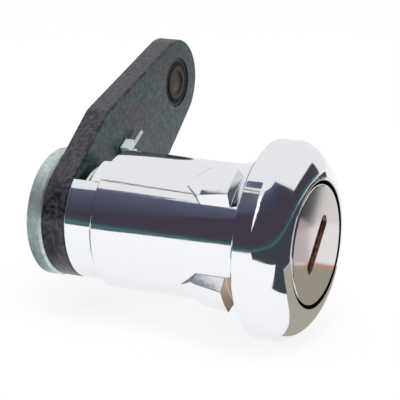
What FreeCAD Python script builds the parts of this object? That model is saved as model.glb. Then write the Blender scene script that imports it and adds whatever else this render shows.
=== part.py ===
"""Car door lock cylinder: a chromed die-cast housing with a domed head, a key plug
with eight wafers, a centring spring and a black lever that pulls the latch rod.

Millimetres. The axis of the lock is Y: the face with the key slot looks to -Y and the
lever sits at the +Y end. +Z is up. The origin is on the axis, on the flat back of the
head, where the head meets the outside of the door. A clock angle is measured in the
XZ plane from +X towards +Z.
"""
import FreeCAD
import Part
import math
import os

from FreeCAD import Vector

os.makedirs("parts", exist_ok=True)

# Housing: barrel, head and ramps
barrel_radius = 11.0
barrel_length = 26.1
barrel_wall = 3.65
flange_width = 4.5
rim_length = 3.3
rim_round = 1.2
head_length = 7.4
dome_height = 0.8
lip_width = 0.55
edge_round = 0.3
ramp_start = 3.1
ramp_body_length = 4.7
ramp_nose_length = 3.4
ramp_height = 2.2
ramp_nose_height = 1.5
ramp_root_depth = 1.0
ramp_foot_half_width = 3.0
ramp_top_half_width = 2.4
ramp_tip_half_width = 0.2
ramp_angle = 36.5
ramp_count = 4

# Housing: the skirt round the centring spring, and its window
skirt_step = 0.9
skirt_wall = 1.1
skirt_length = 4.9
window_strip = 1.9
window_half_angle = 102.6

# Plug and the parts in it
plug_clearance = 0.05
plug_rear_inset = 0.2
cap_pocket_depth = 3.2
seat_clearance = 0.05
keyway_width = 2.5
keyway_height = 9.4
keyway_end = 24.1
slot_angle = 48.7
tail_radius = 4.8
tail_flat = 3.4
tail_clearance = 0.05

# Face cap
cap_step = 1.65
cap_gap = 0.5
cap_thickness = 0.7
cap_wall = 0.6
cap_skirt_gap = 0.2
cap_fit = 0.02
cap_edge_round = 0.35
slot_length = 10.0
slot_width = 2.3

# Dust shutter behind the slot
shutter_thickness = 0.5
shutter_half_length = 5.3
shutter_overlap = 0.6
hinge_offset = 2.4
hinge_pin_radius = 0.4
hinge_clearance = 0.05
knuckle_wall = 0.3
shutter_side_gap = 0.3
shutter_pocket_depth = 4.9
pocket_side_gap = 0.35
pin_seat_length = 0.8
shutter_spring_wire = 0.24
shutter_spring_turns = 3
shutter_spring_pitch = 0.34
shutter_spring_gap = 0.1
shutter_spring_end_gap = 0.2

# Ring seal between plug and bore
seal_section_radius = 0.43
seal_groove_width = 1.2
seal_groove_depth = 0.9
seal_place = -0.4
seal_gap = 0.02

# Wafers and their springs
wafer_count = 8
wafer_pitch = 2.7
first_wafer = 2.7
wafer_thickness = 0.9
wafer_width = 6.0
wafer_clearance = 0.06
wafer_tip_inset = 0.05
wafer_travel = 1.3
wafer_opening_width = 2.9
wafer_opening_height = 8.2
ear_width = 1.35
ear_height = 1.3
ear_place = 0.3
ear_root = 0.5
channel_count = 4
channel_depth = 1.7
channel_side_gap = 0.15
channel_start = 1.1
spring_pocket_radius = 0.85
spring_line_offset = 0.65
spring_pocket_wall = 0.82
wafer_spring_radius = 0.58
wafer_spring_wire = 0.22
wafer_spring_turns = 5
wafer_spring_end_gap = 0.03

# Centring spring
wire_diameter = 0.8
wire_sides = 12
coil_side_gap = 0.8
coil_turns = 3
coil_end_gap = 0.3
spring_leg_side = 2.5
lever_leg_reach = 17.9
fixed_leg_overhang = 2.2
leg_bend_radius = 1.0
leg_notch_gap = 0.15

# Lever
lever_angle = 29.5
lever_gap = 0.15
lever_thickness = 4.0
lever_centres = 33.75
eye_end_radius = 7.4
arm_shoulder_along = 12.0
arm_shoulder_side = 11.7
arm_shoulder_round = 4.0
lever_edge_round = 0.35
eye_radius = 4.25
post_start = 12.0
post_length = 2.2
post_width = 3.0
post_height = 1.6
post_root = 0.5

# Rod bush in the eye of the lever
bush_bore_radius = 2.0
bush_hub_wall = 0.85
bush_outer_wall = 0.55
bush_web = 1.4
bush_inset = 0.25
bush_lip = 0.5
bush_lip_height = 0.6
press_gap = 0.02

# Rear disc and its retaining ring
disc_overhang = 0.2
disc_thickness = 2.7
disc_gap = 0.05
disc_chamfer = 0.35
ring_thickness = 0.9
ring_gap = 0.1
ring_groove_radius = 4.1
ring_width = 2.4
ring_opening_angle = 62.0
tail_end_land = 0.8

# How far a cut runs past what it cuts, and how near two places must be to count as one
overrun = 1.0
same_place = 1e-6

# Sizes and places worked out from the ones above
bore_radius = barrel_radius - barrel_wall
plug_radius = bore_radius - plug_clearance
head_radius = barrel_radius + flange_width
cap_radius = barrel_radius - cap_step
plug_head_radius = cap_radius - cap_wall
face_y = -head_length
pocket_floor_y = face_y + cap_pocket_depth
cap_pocket_radius = cap_radius + cap_gap
lip_radius = cap_pocket_radius + lip_width
skirt_radius = barrel_radius - skirt_step
skirt_inner_radius = skirt_radius - skirt_wall
skirt_end_y = barrel_length + skirt_length
window_edge_y = barrel_length + window_strip
cap_inner_y = face_y + cap_thickness
plug_rear_y = barrel_length - plug_rear_inset
lever_front_y = skirt_end_y + lever_gap
lever_rear_y = lever_front_y + lever_thickness
disc_front_y = lever_rear_y + disc_gap
disc_rear_y = disc_front_y + disc_thickness
ring_front_y = disc_rear_y + ring_gap
ring_rear_y = ring_front_y + ring_thickness
tail_end_y = ring_rear_y + ring_gap + tail_end_land
coil_radius = skirt_inner_radius - coil_side_gap - wire_diameter / 2
fixed_leg_reach = barrel_radius + fixed_leg_overhang
fixed_leg_y = window_edge_y - wire_diameter / 2 - coil_end_gap
lever_leg_y = skirt_end_y - wire_diameter / 2 - coil_end_gap
ear_outer = wafer_width / 2 + ear_width
spring_line = wafer_width / 2 + wafer_clearance + spring_line_offset
spring_pocket_side = spring_line + spring_pocket_radius
spring_pocket_foot = math.sqrt((plug_radius - spring_pocket_wall) ** 2 - spring_pocket_side ** 2)
shutter_pocket_half_length = shutter_half_length + shutter_side_gap
hinge_pin_y = cap_inner_y + hinge_clearance + knuckle_wall + hinge_clearance + hinge_pin_radius
knuckle_radius = hinge_pin_radius + hinge_clearance + knuckle_wall

AXIS = Vector(0, 1, 0)
ORIGIN = Vector(0, 0, 0)


def turned(profile, angle=360.0):
    """A solid of revolution about the lock's axis, from (radius, y) corners."""
    corners = [Vector(radius, y, 0) for radius, y in profile]
    face = Part.Face(Part.makePolygon(corners + corners[:1]))
    return face.revolve(ORIGIN, AXIS, angle)


def tube(outer, inner, start, end):
    """A ring of rectangular section about the lock's axis."""
    return turned([(inner, start), (outer, start), (outer, end), (inner, end)])


def rod(radius, start, end):
    """A plain cylinder on the lock's axis."""
    return Part.makeCylinder(radius, end - start, Vector(0, start, 0), AXIS)


def at_clock(shape, angle):
    """Turn a shape made along +X to a clock angle."""
    turned_shape = shape.copy()
    turned_shape.rotate(ORIGIN, Vector(0, -1, 0), angle)
    return turned_shape


def block(along, y, side):
    """A box from three (low, high) pairs: along +X, along the axis, and across."""
    size = [high - low for low, high in (along, y, side)]
    return Part.makeBox(*size, Vector(along[0], y[0], side[0]))


def sector(outer, inner, start, end, clock, half_angle):
    """Part of a ring, centred on a clock angle."""
    corners = [(inner, start), (outer, start), (outer, end), (inner, end)]
    ring = turned(corners, 2 * half_angle)
    return at_clock(ring, clock + half_angle)


def rounded_slot(length, width, start, end):
    """A slot with round ends along +X, from one place on the axis to another."""
    straight = length - width
    radius = width / 2
    body = block((-straight / 2, straight / 2), (start, end), (-radius, radius))
    for middle in (-straight / 2, straight / 2):
        body = body.fuse(Part.makeCylinder(radius, end - start, Vector(middle, start, 0), AXIS))
    return body.removeSplitter()


def edges_where(shape, test):
    """The edges of a shape whose middle point passes a test."""
    found = []
    for edge in shape.Edges:
        middle = edge.valueAt((edge.FirstParameter + edge.LastParameter) / 2)
        if test(middle):
            found.append(edge)
    return found


# Housing

def head_and_barrel():
    """The casting before it is bored: barrel, skirt, rounded rim and convex dome."""
    rim_y = -rim_length
    chord = Vector(lip_radius - head_radius, face_y - rim_y, 0)
    middle = Vector((lip_radius + head_radius) / 2, (face_y + rim_y) / 2, 0)
    outward = Vector(-chord.y, chord.x, 0).normalize()
    crown = middle + outward * dome_height
    corners = {
        "back": Vector(0, skirt_end_y, 0),
        "skirt_end": Vector(skirt_radius, skirt_end_y, 0),
        "skirt_root": Vector(skirt_radius, barrel_length, 0),
        "shoulder_in": Vector(barrel_radius - edge_round, barrel_length, 0),
        "shoulder_out": Vector(barrel_radius, barrel_length - edge_round, 0),
        "seat_in": Vector(barrel_radius, 0, 0),
        "seat_out": Vector(head_radius - edge_round, 0, 0),
        "rim_back": Vector(head_radius, -edge_round, 0),
        "rim_front": Vector(head_radius, rim_y, 0),
        "lip": Vector(lip_radius, face_y, 0),
        "front": Vector(0, face_y, 0),
    }
    names = list(corners)
    edges = []
    for here, there in zip(names, names[1:] + names[:1]):
        if here == "rim_front":
            edges.append(Part.Arc(corners[here], crown, corners[there]).toShape())
        else:
            edges.append(Part.makeLine(corners[here], corners[there]))
    casting = Part.Face(Part.Wire(edges)).revolve(ORIGIN, AXIS, 360)
    rim_front = edges_where(casting, lambda point: abs(point.y - rim_y) < same_place)
    return casting.makeFillet(rim_round, rim_front)


def ramp():
    """One wedge along +X: a pointed nose at the rear, then a gentle rise to its tall end at the head."""
    root = barrel_radius - ramp_root_depth
    top = barrel_radius + ramp_height
    nose = ramp_start + ramp_body_length
    end = nose + ramp_nose_length
    profile = [
        (root, ramp_start),
        (top, ramp_start),
        (barrel_radius + ramp_nose_height, nose),
        (barrel_radius, end),
        (root, end),
    ]
    wedge = at_clock(turned(profile, 180), 90)
    draft = (ramp_foot_half_width - ramp_top_half_width) / ramp_height
    root_half_width = ramp_foot_half_width + ramp_root_depth * draft
    section = [
        Vector(root, ramp_start, -root_half_width),
        Vector(top, ramp_start, -ramp_top_half_width),
        Vector(top, ramp_start, ramp_top_half_width),
        Vector(root, ramp_start, root_half_width),
    ]
    plan = [
        Vector(root, ramp_start, -root_half_width),
        Vector(root, ramp_start, root_half_width),
        Vector(root, nose, root_half_width),
        Vector(root, end, ramp_tip_half_width),
        Vector(root, end, -ramp_tip_half_width),
        Vector(root, nose, -root_half_width),
    ]
    sides = Part.Face(Part.makePolygon(section + section[:1])).extrude(Vector(0, end - ramp_start, 0))
    point = Part.Face(Part.makePolygon(plan + plan[:1])).extrude(Vector(top - root, 0, 0))
    return wedge.common(sides).common(point)


def wafer_channel():
    """The groove in the bore that a wafer's tip springs into, along +X."""
    half_width = wafer_width / 2 + channel_side_gap
    reach = bore_radius + channel_depth
    groove = block((0, reach), (channel_start, barrel_length), (-half_width, half_width))
    return groove.common(rod(reach, channel_start, barrel_length))


def leg_notch():
    """The open notch in the strip that holds the fixed leg of the centring spring."""
    half_width = wire_diameter / 2 + leg_notch_gap
    side = -spring_leg_side
    floor_y = fixed_leg_y - half_width
    strip = (coil_radius, barrel_radius)
    return block(strip, (floor_y, window_edge_y), (side - half_width, side + half_width))


def make_housing():
    housing = head_and_barrel()
    for number in range(ramp_count):
        housing = housing.fuse(at_clock(ramp(), ramp_angle + number * 360 / ramp_count))
    housing = housing.cut(rod(bore_radius, face_y, skirt_end_y))
    housing = housing.cut(rod(cap_pocket_radius, face_y, pocket_floor_y))
    housing = housing.cut(rod(skirt_inner_radius, barrel_length, skirt_end_y))
    for number in range(channel_count):
        housing = housing.cut(at_clock(wafer_channel(), slot_angle + number * 360 / channel_count))
    outside = skirt_radius + overrun
    window = sector(outside, 0, window_edge_y, skirt_end_y + overrun, lever_angle, window_half_angle)
    housing = housing.cut(window)
    housing = housing.cut(at_clock(leg_notch(), lever_angle))
    return housing.removeSplitter()


# Plug and what rides in it

def shutter_pocket():
    """The room behind the face cap in which the dust shutter swings."""
    low = -(hinge_offset + knuckle_radius + pocket_side_gap)
    high = slot_width / 2 + shutter_overlap + pocket_side_gap
    along = (-shutter_pocket_half_length, shutter_pocket_half_length)
    return block(along, (cap_inner_y, cap_inner_y + shutter_pocket_depth), (low, high))


def pin_seat():
    """The open groove in the front of the plug that holds the hinge pin."""
    reach = shutter_pocket_half_length + pin_seat_length
    radius = hinge_pin_radius + hinge_clearance
    across = (-hinge_offset - radius, -hinge_offset + radius)
    front = block((-reach, reach), (cap_inner_y, hinge_pin_y), across)
    start = Vector(-reach, hinge_pin_y, -hinge_offset)
    return front.fuse(Part.makeCylinder(radius, 2 * reach, start, Vector(1, 0, 0)))


def wafer_slot(y, up):
    """The slot through the plug for one wafer, with the hole for its spring."""
    half = wafer_thickness / 2 + wafer_clearance
    side = wafer_width / 2 + wafer_clearance
    reach = plug_radius + overrun
    slot = block((-reach, reach), (y - half, y + half), (-side, side))
    foot = -up * spring_pocket_foot
    top = up * (ear_place + ear_height + wafer_travel + wafer_clearance)
    start = Vector(min(foot, top), y, spring_line)
    hole = Part.makeCylinder(spring_pocket_radius, abs(top - foot), start, Vector(1, 0, 0))
    return slot.fuse(hole)


def wafer_places():
    """Each wafer's place on the axis, and the side that it springs out to."""
    places = [first_wafer + number * wafer_pitch for number in range(wafer_count)]
    return [(y, 1 if number % 2 == 0 else -1) for number, y in enumerate(places)]


def make_plug():
    plug = rod(plug_radius, pocket_floor_y - seat_clearance, plug_rear_y)
    plug = plug.fuse(rod(plug_head_radius, cap_inner_y + cap_fit, pocket_floor_y - seat_clearance))
    plug = plug.fuse(rod(tail_radius, plug_rear_y, tail_end_y))
    plug = plug.removeSplitter()
    groove_start = seal_place - seal_groove_width / 2
    groove_end = seal_place + seal_groove_width / 2
    plug = plug.cut(tube(bore_radius, plug_radius - seal_groove_depth, groove_start, groove_end))
    half_height = keyway_height / 2
    half_width = keyway_width / 2
    keyway = block((-half_height, half_height), (cap_inner_y, keyway_end), (-half_width, half_width))
    cuts = [keyway, shutter_pocket(), pin_seat()]
    for y, up in wafer_places():
        cuts.append(wafer_slot(y, up))
    for cut in cuts:
        plug = plug.cut(at_clock(cut, slot_angle))
    tail_outside = tail_radius + overrun
    for side in (-1, 1):
        low, high = sorted((side * tail_flat, side * tail_outside))
        flat = block((-tail_outside, tail_outside), (lever_front_y, tail_end_y), (low, high))
        plug = plug.cut(at_clock(flat, lever_angle))
    plug = plug.cut(tube(tail_outside, ring_groove_radius, ring_front_y, ring_rear_y + ring_gap))
    return plug.removeSplitter()


def make_plug_cap():
    """The pressed steel cup over the plug's head, pierced by the key slot."""
    inner = plug_head_radius + cap_fit
    back_y = pocket_floor_y - cap_skirt_gap
    cup = rod(cap_radius, face_y, back_y).cut(rod(inner, cap_inner_y, back_y))
    rim = edges_where(cup, lambda point: abs(point.y - face_y) < same_place)
    cup = cup.makeFillet(cap_edge_round, rim)
    opening = rounded_slot(slot_length, slot_width, face_y - overrun, cap_inner_y + overrun)
    slot = at_clock(opening, slot_angle)
    return cup.cut(slot)


def make_plug_seal():
    ring = Part.makeTorus(bore_radius - seal_gap - seal_section_radius, seal_section_radius)
    ring.rotate(ORIGIN, Vector(1, 0, 0), -90)
    ring.translate(Vector(0, seal_place, 0))
    return ring


def hinge_rod(radius, start, end):
    """A cylinder on the shutter's hinge line, before it is turned to the slot."""
    return Part.makeCylinder(radius, end - start, Vector(start, hinge_pin_y, -hinge_offset), Vector(1, 0, 0))


def shutter_spring_length():
    return (shutter_spring_turns + 1) * shutter_spring_pitch + shutter_spring_wire


def make_shutter():
    """The dust shutter: a steel leaf rolled round the hinge pin at one edge."""
    front = hinge_pin_y - knuckle_radius
    reach = (-shutter_half_length, shutter_half_length)
    leaf = block(reach, (front, front + shutter_thickness), (-hinge_offset, slot_width / 2 + shutter_overlap))
    leaf = leaf.fuse(hinge_rod(knuckle_radius, *reach))
    leaf = leaf.cut(hinge_rod(hinge_pin_radius + hinge_clearance, *reach))
    room = knuckle_radius + shutter_spring_wire + shutter_spring_gap
    room_start = shutter_half_length - shutter_spring_length() - shutter_spring_end_gap
    spring_room = block(
        (room_start, shutter_half_length + overrun),
        (front - overrun, hinge_pin_y + room),
        (-hinge_offset - room, -hinge_offset + room),
    )
    return at_clock(leaf.cut(spring_room).removeSplitter(), slot_angle)


def make_shutter_pin():
    reach = shutter_pocket_half_length + pin_seat_length - hinge_clearance
    return at_clock(hinge_rod(hinge_pin_radius, -reach, reach), slot_angle)


def square_coil(radius, wire, pitch, turns):
    """A closed coil of square wire that climbs along +Z from z = 0."""
    path = Part.makeHelix(pitch, pitch * turns, radius)
    half = wire / 2
    corners = [
        Vector(radius - half, 0, -half),
        Vector(radius + half, 0, -half),
        Vector(radius + half, 0, half),
        Vector(radius - half, 0, half),
    ]
    section = Part.makePolygon(corners + corners[:1])
    return Part.Wire(path).makePipeShell([section], True, True)


def make_shutter_spring():
    coil = square_coil(
        hinge_pin_radius + hinge_clearance + shutter_spring_wire / 2,
        shutter_spring_wire,
        shutter_spring_pitch,
        shutter_spring_turns,
    )
    coil.rotate(ORIGIN, Vector(0, 1, 0), 90)
    start = shutter_half_length - shutter_spring_length() + shutter_spring_wire / 2
    coil.translate(Vector(start, hinge_pin_y, -hinge_offset))
    return at_clock(coil, slot_angle)


def make_wafer(y, up):
    """One wafer, drawn in until its tip is level with the plug's surface."""
    half = wafer_thickness / 2
    side = wafer_width / 2
    tip = plug_radius - wafer_tip_inset
    plate = rod(tip, y - half, y + half)
    plate = plate.common(block((-tip, tip), (y - half, y + half), (-side, side)))
    low, high = sorted((up * ear_place, up * (ear_place + ear_height)))
    plate = plate.fuse(block((low, high), (y - half, y + half), (side - ear_root, ear_outer)))
    opening_half = wafer_opening_width / 2
    opening_reach = wafer_opening_height / 2
    opening = block((-opening_reach, opening_reach), (y - half, y + half), (-opening_half, opening_half))
    return at_clock(plate.cut(opening).removeSplitter(), slot_angle)


def make_wafer_spring(y, up):
    """The coil that pushes a wafer out, between its hole's foot and the ear."""
    foot = spring_pocket_foot - wafer_clearance - wafer_spring_wire / 2
    top = ear_place - wafer_spring_end_gap - wafer_spring_wire / 2
    length = foot + top
    pitch = length / wafer_spring_turns
    coil = square_coil(wafer_spring_radius, wafer_spring_wire, pitch, wafer_spring_turns)
    coil.rotate(ORIGIN, Vector(0, 1, 0), up * 90)
    coil.translate(Vector(-up * foot, y, spring_line))
    return at_clock(coil, slot_angle)


# Centring spring

def leg_ends(y, sign, reach):
    """The points of one leg: where it leaves the coil, mid-bend, bend end and tip."""
    bend_centre_radius = coil_radius + leg_bend_radius
    clock = math.asin((spring_leg_side + leg_bend_radius) / bend_centre_radius)
    side = sign * math.sin(clock)
    centre = Vector(bend_centre_radius * math.cos(clock), y, bend_centre_radius * side)
    on_coil = Vector(coil_radius * math.cos(clock), y, coil_radius * side)
    on_leg = Vector(centre.x, y, centre.z - sign * leg_bend_radius)
    halfway = ((on_coil - centre) + (on_leg - centre)).normalize()
    return on_coil, centre + halfway * leg_bend_radius, on_leg, Vector(reach, y, on_leg.z)


def wire_section(start, along):
    """The wire's section where a leg begins: a round made of small flats."""
    across = along.cross(AXIS).normalize()
    corners = []
    for number in range(wire_sides):
        angle = 2 * math.pi * number / wire_sides
        corners.append(start + (across * math.cos(angle) + AXIS * math.sin(angle)) * (wire_diameter / 2))
    return Part.makePolygon(corners + corners[:1])


def make_centring_spring():
    """Three turns of wire: one leg held in the housing, the other on the lever."""
    fixed = leg_ends(fixed_leg_y, -1, fixed_leg_reach)
    moving = leg_ends(lever_leg_y, 1, lever_leg_reach)
    overlap = math.degrees(math.atan2(moving[0].z, moving[0].x))
    turns = coil_turns - 2 * overlap / 360
    rise = lever_leg_y - fixed_leg_y
    coil = Part.makeHelix(rise / turns, rise, coil_radius)
    coil.rotate(ORIGIN, Vector(1, 0, 0), -90)
    coil.translate(Vector(0, fixed_leg_y, 0))
    path = Part.Wire([
        Part.makeLine(fixed[3], fixed[2]),
        Part.Arc(fixed[2], fixed[1], fixed[0]).toShape(),
        *at_clock(coil, -overlap).Edges,
        Part.Arc(moving[0], moving[1], moving[2]).toShape(),
        Part.makeLine(moving[2], moving[3]),
    ])
    section = wire_section(fixed[3], fixed[2] - fixed[3])
    spring = path.makePipeShell([section], True, False)
    return at_clock(spring, lever_angle)


# Lever

def tangent_point(outside, centre, radius, sign):
    """Where a line from an outside point touches a circle, in the lever's plane."""
    gap = outside - centre
    toward = math.atan2(gap.z, gap.x)
    spread = math.acos(radius / gap.Length)
    angle = toward + sign * spread
    return centre + Vector(radius * math.cos(angle), 0, radius * math.sin(angle))


def lever_blank():
    """The lever's plate along +X: round hub, flared shoulders and round eye end."""
    y = lever_front_y
    hub = Vector(0, y, 0)
    eye = Vector(lever_centres, y, 0)
    upper = Vector(arm_shoulder_along, y, arm_shoulder_side)
    lower = Vector(arm_shoulder_along, y, -arm_shoulder_side)
    hub_upper = tangent_point(upper, hub, skirt_radius, 1)
    hub_lower = tangent_point(lower, hub, skirt_radius, -1)
    eye_upper = tangent_point(upper, eye, eye_end_radius, -1)
    eye_lower = tangent_point(lower, eye, eye_end_radius, 1)
    edges = [
        Part.Arc(hub_lower, Vector(-skirt_radius, y, 0), hub_upper).toShape(),
        Part.makeLine(hub_upper, upper),
        Part.makeLine(upper, eye_upper),
        Part.Arc(eye_upper, Vector(lever_centres + eye_end_radius, y, 0), eye_lower).toShape(),
        Part.makeLine(eye_lower, lower),
        Part.makeLine(lower, hub_lower),
    ]
    plate = Part.Face(Part.Wire(edges)).extrude(Vector(0, lever_thickness, 0))
    shoulders = edges_where(
        plate,
        lambda point: abs(point.x - arm_shoulder_along) < same_place
        and abs(abs(point.z) - arm_shoulder_side) < same_place,
    )
    plate = plate.makeFillet(arm_shoulder_round, shoulders)
    outline = edges_where(plate, lambda point: min(abs(point.y - y), abs(point.y - lever_rear_y)) < same_place)
    return plate.makeFillet(lever_edge_round, outline)


def tail_hole(start, end):
    """The two-flat hole that drives a piece from the plug's tail."""
    radius = tail_radius + tail_clearance
    flat = tail_flat + tail_clearance
    return rod(radius, start, end).common(block((-radius, radius), (start, end), (-flat, flat)))


def spring_post():
    """The small claw on the lever's front face that grips the spring's moving leg."""
    along = (post_start, post_start + post_length)
    half_width = post_width / 2
    side = spring_leg_side
    post_y = (lever_front_y - post_height, lever_front_y + post_root)
    post = block(along, post_y, (side - half_width, side + half_width))
    half_slot = wire_diameter / 2 + leg_notch_gap
    slot_along = (post_start - overrun, post_start + post_length + overrun)
    slot_y = (lever_front_y - post_height - overrun, lever_leg_y + half_slot)
    return post.cut(block(slot_along, slot_y, (side - half_slot, side + half_slot)))


def make_lever():
    lever = lever_blank().fuse(spring_post())
    eye = Vector(lever_centres, lever_front_y, 0)
    lever = lever.cut(Part.makeCylinder(eye_radius, lever_thickness, eye, AXIS))
    lever = lever.cut(tail_hole(lever_front_y, lever_rear_y))
    return at_clock(lever.removeSplitter(), lever_angle)


def make_rod_bush():
    """The moulded bush in the lever's eye: an outer wall, a web, and a hub for the rod."""
    outer = eye_radius - press_gap
    hub_outer = bush_bore_radius + bush_hub_wall
    front = lever_front_y + bush_inset
    back = lever_rear_y + bush_lip_height
    web_front = lever_rear_y - bush_web
    profile = [
        (bush_bore_radius, front - bush_inset),
        (hub_outer, front - bush_inset),
        (hub_outer, web_front),
        (outer - bush_outer_wall, web_front),
        (outer - bush_outer_wall, front),
        (outer, front),
        (outer, lever_rear_y + press_gap),
        (outer + bush_lip, lever_rear_y + press_gap),
        (outer + bush_lip, back),
        (bush_bore_radius, back),
    ]
    bush = turned(profile)
    bush.translate(Vector(lever_centres, 0, 0))
    return at_clock(bush, lever_angle)


# Rear end

def make_rear_disc():
    """The die-cast disc that closes the rear of the lock, chamfered at both edges."""
    disc_radius = skirt_radius + disc_overhang
    disc = turned([
        (0, disc_front_y),
        (disc_radius - disc_chamfer, disc_front_y),
        (disc_radius, disc_front_y + disc_chamfer),
        (disc_radius, disc_rear_y - disc_chamfer),
        (disc_radius - disc_chamfer, disc_rear_y),
        (0, disc_rear_y),
    ])
    return at_clock(disc.cut(tail_hole(disc_front_y, disc_rear_y)), lever_angle)


def make_retaining_ring():
    inner = ring_groove_radius + seat_clearance
    ring = tube(inner + ring_width, inner, ring_front_y + ring_gap / 2, ring_rear_y + ring_gap / 2)
    outside = inner + ring_width + overrun
    opening = sector(outside, 0, ring_front_y, ring_rear_y + overrun, 0, ring_opening_angle / 2)
    return at_clock(ring.cut(opening), lever_angle + 90)


def all_parts():
    parts = {
        "housing": make_housing(),
        "plug": make_plug(),
        "plug_cap": make_plug_cap(),
        "plug_seal": make_plug_seal(),
        "dust_shutter": make_shutter(),
        "shutter_pin": make_shutter_pin(),
        "shutter_spring": make_shutter_spring(),
        "centring_spring": make_centring_spring(),
        "lever": make_lever(),
        "rod_bush": make_rod_bush(),
        "rear_disc": make_rear_disc(),
        "retaining_ring": make_retaining_ring(),
    }
    for number, (y, up) in enumerate(wafer_places(), start=1):
        parts["wafer_" + str(number)] = make_wafer(y, up)
        parts["wafer_spring_" + str(number)] = make_wafer_spring(y, up)
    return parts


for name, shape in all_parts().items():
    print(name, shape.ShapeType, shape.isValid(), len(shape.Solids), round(shape.Volume, 2))
    shape.exportStep("parts/" + name + ".step")
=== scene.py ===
# %% [markdown]
# A car door lock cylinder, dressed for its picture. The imported CAD model gives every
# solid its true size and place. This file adds what CAD doesn't give: chrome that
# mirrors a room, satin steel, cast zinc, glossy black, and a spring of real round
# wire. In the lock, that spring twists as the lock turns.
#
# Blender works in metres here. The axis of the lock is Y, the face with the slot
# looks to -Y, and the lever stands at the +Y end. The origin is on the flat back of
# the head.

# %% The imported frame
import math

import bmesh
import bpy
from mathutils import Matrix, Vector


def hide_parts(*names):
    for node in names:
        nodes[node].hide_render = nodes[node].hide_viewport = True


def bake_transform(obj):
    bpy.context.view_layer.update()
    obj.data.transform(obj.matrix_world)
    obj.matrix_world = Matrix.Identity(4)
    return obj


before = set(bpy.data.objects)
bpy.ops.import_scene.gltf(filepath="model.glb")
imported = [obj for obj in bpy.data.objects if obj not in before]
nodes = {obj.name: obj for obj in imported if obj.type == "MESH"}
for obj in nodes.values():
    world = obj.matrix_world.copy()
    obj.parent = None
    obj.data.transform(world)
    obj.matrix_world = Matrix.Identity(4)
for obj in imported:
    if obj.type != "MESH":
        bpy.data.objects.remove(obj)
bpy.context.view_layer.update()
MM = 0.001

# %% [markdown]
# A material is a small graph of nodes. One function is enough to build them all: it
# adds a node, sets its options, and fills each input either with a value or with a
# link from another node's output. Where two inputs share a name, such as the two
# values of a Math node or the two colours of a Mix node, a number stands for the
# input: a Mix node takes its colours in 6 and 7 and gives the mix in output 2.
# Colours are picked as they look on a screen, so a second function turns such a hex
# colour into the linear light that Blender mixes.

# %% One function for nodes, one for colours


def linear(hex_colour):
    """An sRGB colour such as "#C8CCD0" as linear red, green, blue and alpha."""
    channels = [int(hex_colour[i : i + 2], 16) / 255 for i in (1, 3, 5)]
    return [c / 12.92 if c <= 0.04045 else ((c + 0.055) / 1.055) ** 2.4 for c in channels] + [1.0]


def add_node(tree, kind, inputs=None, **settings):
    """A new node with its options set and its inputs filled or linked."""
    node = tree.nodes.new(kind)
    for option, value in settings.items():
        setattr(node, option, value)
    for socket, value in (inputs or {}).items():
        if isinstance(value, bpy.types.NodeSocket):
            tree.links.new(value, node.inputs[socket])
        else:
            node.inputs[socket].default_value = value
    return node


def new_material(name):
    """A material with an empty node tree."""
    material = bpy.data.materials.new(name)
    material.use_nodes = True
    material.node_tree.nodes.clear()
    return material, material.node_tree


def paint(material, *names):
    """Give a material to CAD nodes."""
    for name in names:
        mesh = nodes[name].data
        mesh.materials.clear()
        mesh.materials.append(material)
    print(material.name, "on", ", ".join(names))


def add_object(name, edit, material):
    """Turn a finished edit mesh into an object of the scene."""
    mesh = bpy.data.meshes.new(name)
    edit.to_mesh(mesh)
    edit.free()
    mesh.materials.append(material)
    piece = bpy.data.objects.new(name, mesh)
    bpy.context.scene.collection.objects.link(piece)
    print(name, "faces:", len(mesh.polygons))
    return piece


print("linear mid grey:", [round(c, 3) for c in linear("#808080")])

# %% [markdown]
# The camera comes early, because everything is judged through it. A long lens looks
# at the lock from the left of its face and a little above, so that the barrel runs
# away to the left and the lever rises behind it. The small shift slides the frame
# over the lock without turning the camera, which would change the perspective.

# %% Camera
camera_turn = math.radians(-63.28)
camera_height = math.radians(15.61)
camera_target = Vector((0, 15.7 * MM, 0))
camera_distance = 267.7 * MM
toward_camera = Vector((
    math.sin(camera_turn) * math.cos(camera_height),
    -math.cos(camera_turn) * math.cos(camera_height),
    math.sin(camera_height),
))
camera_data = bpy.data.cameras.new("camera")
camera_data.lens = 153.3
camera_data.sensor_width = 36
camera_data.shift_x = 0.0485
camera_data.shift_y = 0.066
camera_data.clip_start = 0.01
camera = bpy.data.objects.new("camera", camera_data)
camera.location = camera_target + toward_camera * camera_distance
camera.rotation_euler = toward_camera.to_track_quat("Z", "Y").to_euler()
bpy.context.scene.collection.objects.link(camera)
bpy.context.scene.camera = camera
bpy.context.scene.view_settings.view_transform = "Standard"
print("camera at mm:", [round(v / MM) for v in camera.location])

# %% [markdown]
# The lock lies on a white laminate table. The table takes real light and shadow. A
# large share of plain white is mixed in for the camera and for reflections, so that
# the background is white while the shadow under the lock stays.

# %% The table
floor_z = -15.6 * MM
plain_share = 0.72
white_glow = 1.07
white_table, tree = new_material("white laminate table")
rays = add_node(tree, "ShaderNodeLightPath")
direct = add_node(tree, "ShaderNodeMath", {
    0: rays.outputs["Is Camera Ray"],
    1: rays.outputs["Is Glossy Ray"],
}, operation="MAXIMUM")
seen = add_node(tree, "ShaderNodeMath", {
    0: direct.outputs[0],
    1: rays.outputs["Is Transmission Ray"],
}, operation="MAXIMUM")
share = add_node(tree, "ShaderNodeMath", {0: seen.outputs[0], 1: plain_share}, operation="MULTIPLY")
lit = add_node(tree, "ShaderNodeBsdfDiffuse", {"Color": linear("#F6F6F6")})
glow = add_node(tree, "ShaderNodeEmission", {"Color": linear("#FFFFFF"), "Strength": white_glow})
mix = add_node(tree, "ShaderNodeMixShader", {
    0: share.outputs[0],
    1: lit.outputs[0],
    2: glow.outputs[0],
})
add_node(tree, "ShaderNodeOutputMaterial", {"Surface": mix.outputs[0]})

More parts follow.
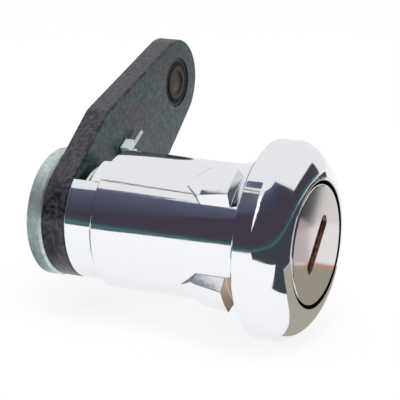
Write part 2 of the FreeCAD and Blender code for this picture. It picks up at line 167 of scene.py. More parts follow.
edit = bmesh.new()
bmesh.ops.create_grid(edit, x_segments=1, y_segments=1, size=3.0)
bmesh.ops.translate(edit, verts=edit.verts, vec=(0, 0, floor_z))
floor = add_object("floor", edit, white_table)

# %% [markdown]
# Chrome has no colour of its own: it shows the room. So the room is built, but only
# for reflections: each card below is hidden from the camera, from diffuse light and
# from shadows. A wall is a flat grid bent round the lock, from one compass turn to
# another. Turn 0 is in front of the face and +90 is to its right. Heights are
# angles seen from the lock, which is how a reflection sees them too.

# %% Cards that only reflections see


def hide_from_all_but_reflections(card):
    """Leave a card visible to glossy rays alone."""
    card.visible_camera = False
    card.visible_diffuse = False
    card.visible_shadow = False
    card.visible_transmission = False
    card.visible_volume_scatter = False


def curved_card(name, radius, turns, feet, tops, material):
    """A band of card bent round the lock. Its foot and top heights may differ at its two ends."""
    edit = bmesh.new()
    bmesh.ops.create_grid(edit, x_segments=32, y_segments=1, size=0.5)
    for vert in edit.verts:
        done = vert.co.x + 0.5
        first, last = tops if vert.co.y > 0 else feet
        turn = math.radians(turns[0] + (turns[1] - turns[0]) * done)
        height = math.radians(first + (last - first) * done)
        vert.co = (radius * math.sin(turn), -radius * math.cos(turn), radius * math.tan(height))
    hide_from_all_but_reflections(add_object(name, edit, material))


def flat_card(name, corners, material):
    """A flat card from its corners in millimetres. A corner without a height lies on the table."""
    edit = bmesh.new()
    for x, y, *height in corners:
        z = height[0] * MM if height else floor_z + 0.2 * MM
        edit.verts.new((x * MM, y * MM, z))
    edit.faces.new(edit.verts)
    hide_from_all_but_reflections(add_object(name, edit, material))


def glowing(name, colour, strength=1.0):
    """A plain colour that gives its own light, for a card."""
    material, tree = new_material(name)
    glow = add_node(tree, "ShaderNodeEmission", {"Color": linear(colour), "Strength": strength})
    add_node(tree, "ShaderNodeOutputMaterial", {"Surface": glow.outputs[0]})
    return material


print("table at z mm:", round(floor_z / MM, 1))

# %% [markdown]
# The walls are painted in layers, because the dark stripe on the barrel has them:
# from foot to top it goes from deep teal through brown-black to navy, as a dim
# workshop does. A Color Ramp node turns the height into a colour. The part of the
# wall behind the lock is greyer.

# %% Paint for the walls
wall_radius = 1.2
wall_top = 57.0
top_z = wall_radius * math.tan(math.radians(wall_top))


def wall_paint(name, *shades):
    """Paint for a wall: its colour changes with height, from (share of the top, colour) pairs."""
    material, tree = new_material(name)
    place = add_node(tree, "ShaderNodeTexCoord")
    height = add_node(tree, "ShaderNodeSeparateXYZ", {"Vector": place.outputs["Object"]})
    level = add_node(tree, "ShaderNodeMapRange", {
        "Value": height.outputs["Z"],
        "From Min": 0.0,
        "From Max": top_z,
    })
    mix = add_node(tree, "ShaderNodeValToRGB", {"Fac": level.outputs[0]})
    stops = mix.color_ramp.elements
    while len(stops) < len(shades):
        stops.new(0.5)
    for stop, (position, colour) in zip(stops, shades):
        stop.position = position
        stop.color = linear(colour)
    glow = add_node(tree, "ShaderNodeEmission", {"Color": mix.outputs[0], "Strength": 1.0})
    add_node(tree, "ShaderNodeOutputMaterial", {"Surface": glow.outputs[0]})
    return material


rear_paint = wall_paint(
    "rear workshop wall",
    (0.0, "#5A7472"), (0.05, "#454D51"), (0.13, "#403C46"),
    (0.42, "#4E4E5E"), (0.7, "#5C5F72"), (1.0, "#6C7084"),
)
workshop_wall = wall_paint(
    "dim workshop wall",
    (0.0, "#4E6A6C"), (0.03, "#3E4A50"), (0.09, "#453F4A"),
    (0.42, "#433D4A"), (0.7, "#464A60"), (1.0, "#5A6078"),
)
print("wall top at z mm:", round(top_z / MM))

# %% [markdown]
# The long wall on the left is what draws the dark stripe on the barrel. It could be
# a flat plane, but that looks lower towards its ends, where a bent one has the same
# height all along. Where it ends in front of the lock, its top slopes down to the
# right. It goes on behind the lock, lower, with a cabinet on it that lifts the
# stripe's edge along the middle of the barrel. A low wall on the far side gives the
# chrome an edge in views from there.

# %% The dark walls
foot = (-1, -1)
rear_top = (49.5, 49.5)
cabinet_top = (51.2, 51.2)
slope_end = 18
curved_card("rear_wall", wall_radius, (-175, -120), foot, rear_top, rear_paint)
curved_card("cabinet", wall_radius, (-140, -134.2), rear_top, cabinet_top, rear_paint)
curved_card("long_wall", wall_radius, (-120, 2), foot, (wall_top, wall_top), workshop_wall)
curved_card("wall_slope", wall_radius, (2, 30), foot, (wall_top, slope_end), workshop_wall)
curved_card("wall_end", wall_radius, (30, 66), foot, (slope_end, 15), workshop_wall)
curved_card("far_wall", wall_radius, (118, 205), foot, (slope_end, slope_end), workshop_wall)

# %% [markdown]
# A tall window in front of the long wall is seen only by the rounded front edge of
# the rim, because no other part of the lock faces that way. It draws the bright arc
# there, and its sill rises to one side, which brings the arc to a point. The edge
# of a lamp panel draws the thin brown line above the stripe, and two small navy
# cards overhead put the short dark marks on the upper part of the rim.

# %% Window, lamp panel and overhead cards
daylight = glowing("window daylight", "#FFFFFF", 1.3)
panel_brown = glowing("brown panel edge", "#6A5548")
curved_card("window", 1.0, (-108, -68), (20, 46), (60, 60), daylight)
curved_card("panel_edge", 0.7, (-162, -112), (58.4, 58.4), (59.4, 59.4), panel_brown)
rim_strip = [(-65, 34, 84.5), (-65, 43.5, 84.5), (-48.7, 43.5, 94), (-48.7, 34, 94)]
rim_patch = [(-39.1, 34, 98), (-39.1, 40, 98), (-24.9, 40, 102), (-24.9, 34, 102)]
flat_card("rim_strip", rim_strip, glowing("navy strip", "#5C5F72"))
flat_card("rim_patch", rim_patch, glowing("navy patch", "#5C5F72"))

# %% [markdown]
# The bottom of the dome and the flat face see the table in front of the lock. Dark
# cloth lies there, as far as the wall. At its right lies a beige card of painted
# shade, standing for the table in shade: it tints the lower dome, and the foot of
# the face up to a level line, with a little orange at the end of that line. Rose
# paper further out tints the left half of the face, and pale grey paper its top. A
# second cloth behind the lock is seen only by its rear shoulder, where it draws the
# fine dark line between barrel and skirt. A third, far out to the side, makes the
# teal foot of the stripe.

# %% Cloth, card and paper on the table
table_cards = {
    "cloth": ("dark cloth", "#40444B", [
        (-1200, -1200), (600, -1200), (600, -173), (92, -43.5), (60, -32.5),
        (36, -46), (4, -46), (1, -23), (-16, -23), (-16, -61), (-1200, -61),
    ]),
    "side_cloth": ("side cloth", "#4E6A6C", [
        (-165, 105), (-1200, 425), (-1200, 1000), (-165, 1000),
    ]),
    "rear_cloth": ("rear cloth", "#4C5A62", [
        (-14, 40), (-30, 47), (-60, 66), (-60, 110), (0, 110), (0, 40),
    ]),
    # The beige card is painted shade: it stands for the table in shade.
    "table_shade_card": ("beige table shade", "#ACA79B", [(4, -45), (36, -45), (36, -5), (-5, -5), (0, -23)]),
    "orange_edge": ("orange edge", "#CBA084", [(36, -24.5), (38.5, -24.5), (38.5, -18), (36, -18)]),
    "rose_paper": ("rose paper", "#CFC3C6", [
        (36, -27.5), (38.3, -24.2), (62.5, -34.2), (66.5, -39), (58.7, -39.1),
    ]),
    "grey_paper": ("grey paper", "#F2F0EE", [(64, -35), (98, -44), (98, -32), (64, -26)]),
}
for name, (finish, colour, corners) in table_cards.items():
    flat_card(name, corners, glowing(finish, colour))

# %% [markdown]
# The world gives most of the light. It is an even white from all round, at a level
# where a mid grey comes out mid grey. The camera sees it as plain white paper, and
# reflections see it a shade darker, as a ceiling is darker than the table under a
# lamp. One large soft lamp above gives the shadow a direction.

# %% World and one soft lamp
level_of_light = 0.75
level_for_camera = 1.0
level_for_mirrors = 0.88
world = bpy.data.worlds.new("white room")
bpy.context.scene.world = world
world.use_nodes = True
tree = world.node_tree
tree.nodes.clear()
rays = add_node(tree, "ShaderNodeLightPath")
seen = add_node(tree, "ShaderNodeMath", {
    0: rays.outputs["Is Camera Ray"],
    1: rays.outputs["Is Transmission Ray"],
}, operation="MAXIMUM")
plain = add_node(tree, "ShaderNodeMapRange", {
    "Value": seen.outputs[0],
    "To Min": level_of_light,
    "To Max": level_for_camera,
})
light = add_node(tree, "ShaderNodeMapRange", {
    "Value": rays.outputs["Is Glossy Ray"],
    "To Min": plain.outputs[0],
    "To Max": level_for_mirrors,
})
paper = add_node(tree, "ShaderNodeBackground", {
    "Color": linear("#FFFFFF"),
    "Strength": light.outputs[0],
})
add_node(tree, "ShaderNodeOutputWorld", {"Surface": paper.outputs[0]})

lamp_data = bpy.data.lights.new("soft box", "AREA")
lamp_data.shape = "RECTANGLE"
lamp_data.size = 0.5
lamp_data.size_y = 0.5
lamp_data.energy = 1.6
lamp = bpy.data.objects.new("soft box", lamp_data)
lamp.location = (-0.25, -0.15, 0.6)
lamp.rotation_euler = lamp.location.to_track_quat("Z", "Y").to_euler()
lamp.visible_glossy = False
bpy.context.scene.collection.objects.link(lamp)
print("lamp watts:", round(lamp_data.energy, 2))

# %% [markdown]
# The housing is zinc, cast in a steel mould, polished, and plated with bright
# nickel and chrome. It could be a plain mirror, but that looks too perfect to be
# metal. Plating rounds every edge a little, so a Bevel node bends the light at the
# edges. The polished casting isn't perfectly flat, so a faint, broad noise makes the
# reflected stripe waver. Finger marks change the roughness.

# %% The skin of the chrome
edge_rounding = 0.2 * MM
swell_width = 5 * MM
swell_height = 0.012 * MM
finger_mark = 3 * MM
chrome, tree = new_material("bright chrome on die-cast zinc")
place = add_node(tree, "ShaderNodeTexCoord")
edge = add_node(tree, "ShaderNodeBevel", {"Radius": edge_rounding}, samples=6)
swell = add_node(tree, "ShaderNodeTexNoise", {
    "Vector": place.outputs["Object"],
    "Scale": 1 / swell_width,
    "Detail": 3.0,
})
wave = add_node(tree, "ShaderNodeBump", {
    "Height": swell.outputs[0],
    "Distance": swell_height,
    "Normal": edge.outputs[0],
})
smear = add_node(tree, "ShaderNodeTexNoise", {
    "Vector": place.outputs["Object"],
    "Scale": 1 / finger_mark,
    "Detail": 4.0,
})
rough = add_node(tree, "ShaderNodeMapRange", {
    "Value": smear.outputs[0],
    "From Min": 0.35,
    "From Max": 0.75,
    "To Min": 0.04,
    "To Max": 0.1,
})
print("chrome swells every mm:", round(swell_width / MM), "finger marks:", round(finger_mark / MM))

# %% [markdown]
# The painted shade sits in known places, and masks find them. A Map Range node on one
# coordinate, or on the slope of the surface, is 0 on one side of a narrow band and
# 1 on the other, and the product of two masks is what lies in both. The ramps stand
# behind the neck. Their tall ends are the faces there that look to the head, and
# the sides of their points slant to the rear.

# %% Masks for the ramps
blur = 0.05 * MM
neck_end = 2.55 * MM
ramp_end = 12.05 * MM
spot = add_node(tree, "ShaderNodeSeparateXYZ", {"Vector": place.outputs["Object"]})
shape = add_node(tree, "ShaderNodeNewGeometry")
facing = add_node(tree, "ShaderNodeSeparateXYZ", {"Vector": shape.outputs["True Normal"]})
to_head = add_node(tree, "ShaderNodeMapRange", {
    "Value": facing.outputs["Y"],
    "From Min": -0.5,
    "From Max": -0.9,
})
to_rear = add_node(tree, "ShaderNodeMapRange", {
    "Value": facing.outputs["Y"],
    "From Min": 0.55,
    "From Max": 0.6,
})
behind = add_node(tree, "ShaderNodeMapRange", {
    "Value": spot.outputs["Y"],
    "From Min": neck_end - blur,
    "From Max": neck_end + blur,
})
before = add_node(tree, "ShaderNodeMapRange", {
    "Value": spot.outputs["Y"],
    "From Min": ramp_end + blur,
    "From Max": ramp_end - blur,
})
below = add_node(tree, "ShaderNodeMapRange", {
    "Value": spot.outputs["Z"],
    "From Min": 0.0,
    "From Max": -1.0 * MM,
})
end_face = add_node(tree, "ShaderNodeMath", {
    0: to_head.outputs[0],
    1: behind.outputs[0],
}, operation="MULTIPLY")
on_ramp = add_node(tree, "ShaderNodeMath", {
    0: behind.outputs[0],
    1: before.outputs[0],
}, operation="MULTIPLY")
low_ramp = add_node(tree, "ShaderNodeMath", {
    0: on_ramp.outputs[0],
    1: below.outputs[0],
}, operation="MULTIPLY")
point = add_node(tree, "ShaderNodeMath", {
    0: to_rear.outputs[0],
    1: low_ramp.outputs[0],
}, operation="MULTIPLY")
print("ramps between y mm:", round(neck_end / MM, 2), round(ramp_end / MM, 2))

# %% [markdown]
# The tall ends of the two lower ramps are painted with a brown shade, darker the
# further out. A dark navy painted shade lies against the foot of the two upper
# ones, and on the slanting sides of the points of the two lower ones.

# %% Painted shade on the ramps
chrome_colour = linear("#F1F2F5")
# Painted shade: the dark colour for the foot of the upper ramps and the points.
painted_shade_colour = linear("#3E4054")
outward = add_node(tree, "ShaderNodeMapRange", {
    "Value": spot.outputs["Z"],
    "From Min": -5.5 * MM,
    "From Max": -9.5 * MM,
})
# Painted shade: brown on the end faces of the lower ramps, darker further out.
brown_shade = add_node(tree, "ShaderNodeMix", {
    "Factor": outward.outputs[0],
    6: linear("#B09C86"),
    7: linear("#6E5646"),
}, data_type="RGBA")
inward = add_node(tree, "ShaderNodeMapRange", {
    "Value": spot.outputs["Z"],
    "From Min": 10.3 * MM,
    "From Max": 9.3 * MM,
})
shaded_foot = add_node(tree, "ShaderNodeMix", {
    "Factor": inward.outputs[0],
    6: chrome_colour,
    7: painted_shade_colour,
}, data_type="RGBA")
end_shade = add_node(tree, "ShaderNodeMix", {
    "Factor": below.outputs[0],
    6: shaded_foot.outputs[2],
    7: brown_shade.outputs[2],
}, data_type="RGBA")
ends = add_node(tree, "ShaderNodeMix", {
    "Factor": end_face.outputs[0],
    6: chrome_colour,
    7: end_shade.outputs[2],
}, data_type="RGBA")
with_shaded_points = add_node(tree, "ShaderNodeMix", {
    "Factor": point.outputs[0],
    6: ends.outputs[2],
    7: painted_shade_colour,
}, data_type="RGBA")
print("painted shade colour:", [round(c, 3) for c in painted_shade_colour[:3]])

# %% [markdown]
# Grime has filled the narrow gap round the face too: that is everything in the head
# nearer to the axis than the gap's outer wall. The distance from the axis is the
# length of the place with its Y taken out, which a Mapping node does. Chrome is
# metal, so this one colour tints all that it mirrors.

# %% Painted shade round the face, and the finished chrome
gap_wall = 9.9 * MM
gap_end = -4.05 * MM
across = add_node(tree, "ShaderNodeMapping", {"Vector": place.outputs["Object"], "Scale": (1, 0, 1)})
reach = add_node(tree, "ShaderNodeVectorMath", {0: across.outputs[0]}, operation="LENGTH")
inside = add_node(tree, "ShaderNodeMapRange", {
    "Value": reach.outputs["Value"],
    "From Min": gap_wall + blur,
    "From Max": gap_wall - blur,
})
in_head = add_node(tree, "ShaderNodeMapRange", {
    "Value": spot.outputs["Y"],
    "From Min": gap_end + blur,
    "From Max": gap_end - blur,
})
face_gap_shade = add_node(tree, "ShaderNodeMath", {
    0: inside.outputs[0],
    1: in_head.outputs[0],
}, operation="MULTIPLY")
# Painted shade: the gap round the face is coloured nearly black.
tone = add_node(tree, "ShaderNodeMix", {
    "Factor": face_gap_shade.outputs[0],
    6: with_shaded_points.outputs[2],
    7: linear("#1C1B20"),
}, data_type="RGBA")
surface = add_node(tree, "ShaderNodeBsdfPrincipled", {
    "Base Color": tone.outputs[2],
    "Metallic": 1.0,
    "Roughness": rough.outputs[0],
    "Normal": wave.outputs[0],
})
add_node(tree, "ShaderNodeOutputMaterial", {"Surface": surface.outputs[0]})
paint(chrome, "housing")

# %% [markdown]
# The disc at the rear, and the plug inside, are the same zinc left bare. Bare zinc
# goes grey-green in the air, in soft clouds, and keeps the grain of the mould. One
# noise mixes two tones for the clouds, and a finer one is the grain. The real grain
# is finer still, and is drawn 0.35 mm wide here so that it shows.

# %% Bare die-cast zinc
cloud_width = 1.2 * MM
grain_width = 0.35 * MM
bare_zinc, tree = new_material("bare die-cast zinc")
place = add_node(tree, "ShaderNodeTexCoord")
edge = add_node(tree, "ShaderNodeBevel", {"Radius": 0.15 * MM}, samples=6)
cloud = add_node(tree, "ShaderNodeTexNoise", {
    "Vector": place.outputs["Object"],
    "Scale": 1 / cloud_width,
    "Detail": 6.0,
    "Roughness": 0.65,
})
patch = add_node(tree, "ShaderNodeMapRange", {
    "Value": cloud.outputs[0],
    "From Min": 0.36,
    "From Max": 0.64,
})
tone = add_node(tree, "ShaderNodeMix", {
    "Factor": patch.outputs[0],
    6: linear("#BCCFD0"),
    7: linear("#E6EEEA"),
}, data_type="RGBA")
grain = add_node(tree, "ShaderNodeTexNoise", {
    "Vector": place.outputs["Object"],
    "Scale": 1 / grain_width,
    "Detail": 3.0,
})
skin = add_node(tree, "ShaderNodeBump", {
    "Height": grain.outputs[0],
    "Distance": 0.02 * MM,
    "Strength": 0.6,
    "Normal": edge.outputs[0],
})
surface = add_node(tree, "ShaderNodeBsdfPrincipled", {
    "Base Color": tone.outputs[2],
    "Metallic": 1.0,
    "Roughness": 0.5,
    "Normal": skin.outputs[0],
})
add_node(tree, "ShaderNodeOutputMaterial", {"Surface": surface.outputs[0]})
paint(bare_zinc, "plug", "rear_disc")

# %% [markdown]
# The face is a cup pressed from stainless steel sheet. It is brushed in one
# direction, along the slot, and years of use have worn it smooth. An anisotropic
# shader could stretch the highlights, but a noise stretched along the slot draws
# the lines too. Real ones are finer, and these are 0.12 mm apart so that they show.
# The wall of the cup stands in the gap round the face, and is painted dark there as
# shade.

# %% Satin stainless steel
slot_turn = math.radians(48.7)
stretch = 0.06
line_spacing = 0.12 * MM
cup_wall = 9.05 * MM
face_depth = -7.0 * MM
satin_steel, tree = new_material("satin stainless steel sheet")
place = add_node(tree, "ShaderNodeTexCoord")
edge = add_node(tree, "ShaderNodeBevel", {"Radius": 0.1 * MM}, samples=6)
along = add_node(tree, "ShaderNodeMapping", {
    "Vector": place.outputs["Object"],
    "Rotation": (0, slot_turn, 0),
    "Scale": (stretch, 1, 1),
})
brush = add_node(tree, "ShaderNodeTexNoise", {
    "Vector": along.outputs[0],
    "Scale": 1 / line_spacing,
    "Detail": 3.0,
})
skin = add_node(tree, "ShaderNodeBump", {
    "Height": brush.outputs[0],
    "Distance": 0.002 * MM,
    "Strength": 0.4,
    "Normal": edge.outputs[0],
})
rough = add_node(tree, "ShaderNodeMapRange", {
    "Value": brush.outputs[0],
    "To Min": 0.05,
    "To Max": 0.11,
})
spot = add_node(tree, "ShaderNodeSeparateXYZ", {"Vector": place.outputs["Object"]})
across = add_node(tree, "ShaderNodeMapping", {"Vector": place.outputs["Object"], "Scale": (1, 0, 1)})
reach = add_node(tree, "ShaderNodeVectorMath", {0: across.outputs[0]}, operation="LENGTH")
on_wall = add_node(tree, "ShaderNodeMapRange", {
    "Value": reach.outputs["Value"],
    "From Min": cup_wall - blur,
    "From Max": cup_wall + blur,
})
sunk = add_node(tree, "ShaderNodeMapRange", {
    "Value": spot.outputs["Y"],
    "From Min": face_depth - blur,
    "From Max": face_depth + blur,
})
gap_shade_mask = add_node(tree, "ShaderNodeMath", {
    0: on_wall.outputs[0],
    1: sunk.outputs[0],
}, operation="MULTIPLY")
# Painted shade: the cup's wall in the gap is coloured dark.
tone = add_node(tree, "ShaderNodeMix", {
    "Factor": gap_shade_mask.outputs[0],
    6: linear("#D8D4D3"),
    7: linear("#2C2B2E"),
}, data_type="RGBA")
surface = add_node(tree, "ShaderNodeBsdfPrincipled", {
    "Base Color": tone.outputs[2],
    "Metallic": 1.0,
    "Roughness": rough.outputs[0],
    "Normal": skin.outputs[0],
})
add_node(tree, "ShaderNodeOutputMaterial", {"Surface": surface.outputs[0]})
paint(satin_steel, "plug_cap")

# %% [markdown]
# The lever is thick black moulded plastic with a slight orange-peel skin, glossy
# enough to mirror the chrome beside it. Pale specks on it are painted reflection,
# bluish on the front face and purplish round its edge, drawn 0.7 mm wide so that
# they show. Glass fibre near the skin gives it pale specks, bluish on the front
# face and purplish round its edge, drawn larger than real ones so that they show.
# The claw in front of the plate gets a pale painted highlight.

# %% Glossy black moulding
peel_width = 0.5 * MM
speck_width = 0.7 * MM
tint_width = 8 * MM
plate_front = 31.0 * MM
black_moulding, tree = new_material("glossy black moulded polyamide")
place = add_node(tree, "ShaderNodeTexCoord")
peel = add_node(tree, "ShaderNodeTexNoise", {
    "Vector": place.outputs["Object"],
    "Scale": 1 / peel_width,
    "Detail": 3.0,
})
skin = add_node(tree, "ShaderNodeBump", {
    "Height": peel.outputs[0],
    "Distance": 0.03 * MM,
    "Strength": 0.8,
})
reflection_speck_noise = add_node(tree, "ShaderNodeTexNoise", {
    "Vector": place.outputs["Object"],
    "Scale": 1 / speck_width,
    "Detail": 6.0,
    "Roughness": 0.7,
})
speck = add_node(tree, "ShaderNodeMapRange", {
    "Value": reflection_speck_noise.outputs[0],
    "From Min": 0.42,
    "From Max": 0.68,
})
cast = add_node(tree, "ShaderNodeTexNoise", {
    "Vector": place.outputs["Object"],
    "Scale": 1 / tint_width,
    "Detail": 1.5,
})
patch = add_node(tree, "ShaderNodeMapRange", {
    "Value": cast.outputs[0],
    "From Min": 0.38,
    "From Max": 0.52,
})
shape = add_node(tree, "ShaderNodeNewGeometry")
facing = add_node(tree, "ShaderNodeSeparateXYZ", {"Vector": shape.outputs["Normal"]})
front = add_node(tree, "ShaderNodeMapRange", {
    "Value": facing.outputs["Y"],
    "From Min": -0.3,
    "From Max": -0.9,
})
cast_share = add_node(tree, "ShaderNodeMath", {
    0: patch.outputs[0],
    1: front.outputs[0],
}, operation="MULTIPLY")
# Painted reflection: pale specks, teal on the front face and purplish elsewhere.
painted_reflection = add_node(tree, "ShaderNodeMix", {
    "Factor": cast_share.outputs[0],
    6: linear("#4E4654"),
    7: linear("#2E5C68"),
}, data_type="RGBA")
plate = add_node(tree, "ShaderNodeMix", {
    "Factor": speck.outputs[0],
    6: linear("#0C0F12"),
    7: painted_reflection.outputs[2],
}, data_type="RGBA")
spot = add_node(tree, "ShaderNodeSeparateXYZ", {"Vector": place.outputs["Object"]})
# Painted highlight: the claw in front of the plate is coloured pale blue-white.
claw_highlight = add_node(tree, "ShaderNodeMapRange", {
    "Value": spot.outputs["Y"],
    "From Min": plate_front + 2 * blur,
    "From Max": plate_front - 2 * blur,
})
tone = add_node(tree, "ShaderNodeMix", {
    "Factor": claw_highlight.outputs[0],
    6: plate.outputs[2],
    7: linear("#E6F0F8"),
}, data_type="RGBA")
surface = add_node(tree, "ShaderNodeBsdfPrincipled", {
    "Base Color": tone.outputs[2],
    "Roughness": 0.3,
    "IOR": 1.53,
    "Normal": skin.outputs[0],
})
add_node(tree, "ShaderNodeOutputMaterial", {"Surface": surface.outputs[0]})
paint(black_moulding, "lever")

# %% [markdown]
# The bush in the eye is nylon, a little duller than the lever and made to run dry
# on the steel rod. Its groove and its bore are painted lighter with the depth behind
# the bush's front: painted light that lifts the shade in them.

# %% Black nylon
mould_grain = 0.25 * MM
bush_front = 31.3 * MM
groove_floor = 32.2 * MM
black_nylon, tree = new_material("black moulded nylon")
place = add_node(tree, "ShaderNodeTexCoord")
grain = add_node(tree, "ShaderNodeTexNoise", {
    "Vector": place.outputs["Object"],
    "Scale": 1 / mould_grain,
    "Detail": 2.0,
})
skin = add_node(tree, "ShaderNodeBump", {
    "Height": grain.outputs[0],
    "Distance": 0.01 * MM,
    "Strength": 0.5,
})
spot = add_node(tree, "ShaderNodeSeparateXYZ", {"Vector": place.outputs["Object"]})
light_lift = add_node(tree, "ShaderNodeMapRange", {
    "Value": spot.outputs["Y"],
    "From Min": bush_front,
    "From Max": groove_floor,
})
# Painted light: the groove and the bore get lighter the deeper they lie.
tone = add_node(tree, "ShaderNodeMix", {
    "Factor": light_lift.outputs[0],
    6: linear("#1B1A1C"),
    7: linear("#8A807A"),
}, data_type="RGBA")
surface = add_node(tree, "ShaderNodeBsdfPrincipled", {
    "Base Color": tone.outputs[2],
    "Roughness": 0.5,
    "IOR": 1.53,
    "Normal": skin.outputs[0],
})
add_node(tree, "ShaderNodeOutputMaterial", {"Surface": surface.outputs[0]})
paint(black_nylon, "rod_bush")

# %% [markdown]
# The seal is a nitrile rubber ring. Rubber is matt, with a dusty bloom. One even
# roughness would look like paint, so a noise lets the bloom come and go.

# %% Rubber
bloom_width = 0.8 * MM
seal_rubber, tree = new_material("black nitrile rubber")
place = add_node(tree, "ShaderNodeTexCoord")
bloom = add_node(tree, "ShaderNodeTexNoise", {
    "Vector": place.outputs["Object"],
    "Scale": 1 / bloom_width,
    "Detail": 3.0,
})
rough = add_node(tree, "ShaderNodeMapRange", {
    "Value": bloom.outputs[0],
    "To Min": 0.6,
    "To Max": 0.8,
})
surface = add_node(tree, "ShaderNodeBsdfPrincipled", {
    "Base Color": linear("#17181A"),
    "Roughness": rough.outputs[0],
    "IOR": 1.52,
})
add_node(tree, "ShaderNodeOutputMaterial", {"Surface": surface.outputs[0]})
paint(seal_rubber, "plug_seal")

# %% [markdown]
# The wafers and the dust shutter are stamped from brass strip. Grease and dust
# darken brass in patches, and the bright orange patches between them are painted
# glints. They could be painted by hand, but a noise that mixes two tones needs no
# map, and gives every wafer patches of its own. The shutter is what shows
# orange-brown behind the slot.

# %% Stamped brass
grease_and_glint_width = 1.1 * MM
stamped_brass, tree = new_material("stamped brass")
place = add_node(tree, "ShaderNodeTexCoord")
grease_and_glint = add_node(tree, "ShaderNodeTexNoise", {
    "Vector": place.outputs["Object"],
    "Scale": 1 / grease_and_glint_width,
    "Detail": 4.0,
})
spread = add_node(tree, "ShaderNodeMapRange", {
    "Value": grease_and_glint.outputs[0],
    "From Min": 0.45,
    "From Max": 0.65,
})
# The dark tone is grease. The bright orange tone is painted glints.
tone = add_node(tree, "ShaderNodeMix", {
    "Factor": spread.outputs[0],
    6: linear("#3A2016"),
    7: linear("#DC8A4C"),
}, data_type="RGBA")
surface = add_node(tree, "ShaderNodeBsdfPrincipled", {
    "Base Color": tone.outputs[2],
    "Metallic": 1.0,
    "Roughness": 0.32,
})
add_node(tree, "ShaderNodeOutputMaterial", {"Surface": surface.outputs[0]})
wafers = [name for name in nodes if name.startswith("wafer_") and "spring" not in name]
paint(stamped_brass, "dust_shutter", *wafers)

# %% [markdown]
# Spring wire is drawn through a die, which leaves it bright with faint streaks. They
# could be stretched along the wire, but it bends every way, so a small even cloud
# in the roughness stands for them.

# %% Bright wire
streak_width = 0.3 * MM
bright_wire, tree = new_material("bright drawn spring wire")
place = add_node(tree, "ShaderNodeTexCoord")
draw = add_node(tree, "ShaderNodeTexNoise", {
    "Vector": place.outputs["Object"],
    "Scale": 1 / streak_width,
    "Detail": 2.0,
})
rough = add_node(tree, "ShaderNodeMapRange", {
    "Value": draw.outputs[0],
    "To Min": 0.3,
    "To Max": 0.45,
})
surface = add_node(tree, "ShaderNodeBsdfPrincipled", {
    "Base Color": linear("#F4F8F2"),
    "Metallic": 1.0,
    "Roughness": rough.outputs[0],
})
add_node(tree, "ShaderNodeOutputMaterial", {"Surface": surface.outputs[0]})
springs = [name for name in nodes if "spring" in name]
paint(bright_wire, "shutter_pin", *springs)

# %% [markdown]
# The retaining ring is spring steel with a dark phosphate coat. The coat's crystals
# are far too fine to see, so the cloud that stands for them is drawn coarser.

# %% Phosphated steel
coat_cloud = 0.4 * MM
dark_clip, tree = new_material("phosphated spring steel")
place = add_node(tree, "ShaderNodeTexCoord")
grain = add_node(tree, "ShaderNodeTexNoise", {
    "Vector": place.outputs["Object"],
    "Scale": 1 / coat_cloud,
    "Detail": 3.0,
})
tone = add_node(tree, "ShaderNodeMix", {
    "Factor": grain.outputs[0],
    6: linear("#45474A"),
    7: linear("#6A6C6E"),
}, data_type="RGBA")
surface = add_node(tree, "ShaderNodeBsdfPrincipled", {
    "Base Color": tone.outputs[2],
    "Metallic": 1.0,
    "Roughness": 0.45,
})
add_node(tree, "ShaderNodeOutputMaterial", {"Surface": surface.outputs[0]})
paint(dark_clip, "retaining_ring")

# %% [markdown]
# The centring spring is three turns of round wire. One leg sits in a notch of the
# housing, the other in the claw on the lever. It could be a curve with a bevel, but
# a circle that is extruded and spun shows how the wire is really wound: straight
# leg, bend, coil, bend, straight leg. A spin with a small step along the axis
# makes the coil climb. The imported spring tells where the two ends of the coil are.

# %% Sizes of the centring spring
packed_spring = nodes["centring_spring"]
spring_corners = [packed_spring.matrix_world @ vert.co for vert in packed_spring.data.vertices]
wire_radius = 0.4 * MM
coil_radius = 7.8 * MM
bend_radius = 1.0 * MM
leg_side = 2.5 * MM
fixed_y = min(corner.y for corner in spring_corners) + wire_radius
moving_y = max(corner.y for corner in spring_corners) - wire_radius
fixed_tip = 13.2 * MM
moving_tip = 17.9 * MM
lever_turn = math.radians(29.5)
bend_clock = math.asin((leg_side + bend_radius) / (coil_radius + bend_radius))
bend_x = (coil_radius + bend_radius) * math.cos(bend_clock)
bend_turn = math.pi / 2 - bend_clock
turns = 3
coil_turn = turns * 2 * math.pi - 2 * bend_clock
coil_steps = 120
bend_steps = 10
print("coil from y", round(fixed_y / MM, 2), "to", round(moving_y / MM, 2))
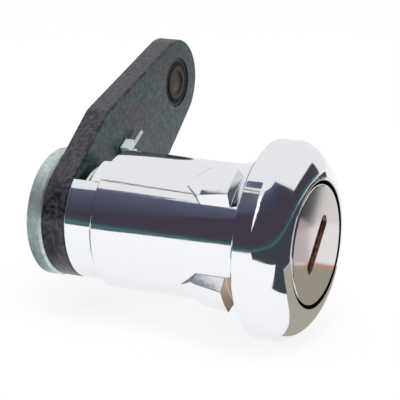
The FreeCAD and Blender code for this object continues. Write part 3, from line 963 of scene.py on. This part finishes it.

# %% [markdown]
# The wire is made along +X and turned to the lever's angle at the end.

# %% Winding the wire


def pull(edit, rim, distance):
    """Pull an open end of the wire straight along X, and return its new end."""
    edges = [item for item in rim if isinstance(item, bmesh.types.BMEdge)]
    pulled = bmesh.ops.extrude_edge_only(edit, edges=edges)["geom"]
    verts = [item for item in pulled if isinstance(item, bmesh.types.BMVert)]
    bmesh.ops.translate(edit, verts=verts, vec=(distance, 0, 0))
    return verts + [edge for edge in edit.edges if all(vert in verts for vert in edge.verts)]


wire = bmesh.new()
bmesh.ops.create_circle(wire, segments=16, radius=wire_radius)
bmesh.ops.rotate(wire, verts=wire.verts, matrix=Matrix.Rotation(math.pi / 2, 3, "Y"))
bmesh.ops.translate(wire, verts=wire.verts, vec=(fixed_tip, fixed_y, -leg_side))
end = pull(wire, wire.edges[:], bend_x - fixed_tip)
bend = {"axis": (0, -1, 0), "angle": bend_turn, "steps": bend_steps}
coil = {"axis": (0, 1, 0), "angle": coil_turn, "steps": coil_steps}
climb = (0, (moving_y - fixed_y) / coil_steps, 0)
bend_centre = (bend_x, fixed_y, -leg_side - bend_radius)
end = bmesh.ops.spin(wire, geom=end, cent=bend_centre, **bend)["geom_last"]
end = bmesh.ops.spin(wire, geom=end, cent=(0, fixed_y, 0), dvec=climb, **coil)["geom_last"]
bend_centre = (bend_x, moving_y, leg_side + bend_radius)
end = bmesh.ops.spin(wire, geom=end, cent=bend_centre, **bend)["geom_last"]
pull(wire, end, moving_tip - bend_x)
bmesh.ops.holes_fill(wire, edges=wire.edges, sides=0)
bmesh.ops.remove_doubles(wire, verts=wire.verts, dist=1e-7)
bmesh.ops.recalc_face_normals(wire, faces=wire.faces)
bmesh.ops.rotate(wire, verts=wire.verts, matrix=Matrix.Rotation(-lever_turn, 3, "Y"))
for face in wire.faces:
    face.smooth = len(face.verts) == 4
spring = add_object("centring_spring_wire", wire, bright_wire)
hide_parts("centring_spring")
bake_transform(spring)

# %% [markdown]
# Last, the frame is finished.

# %% The end
bpy.context.view_layer.update()
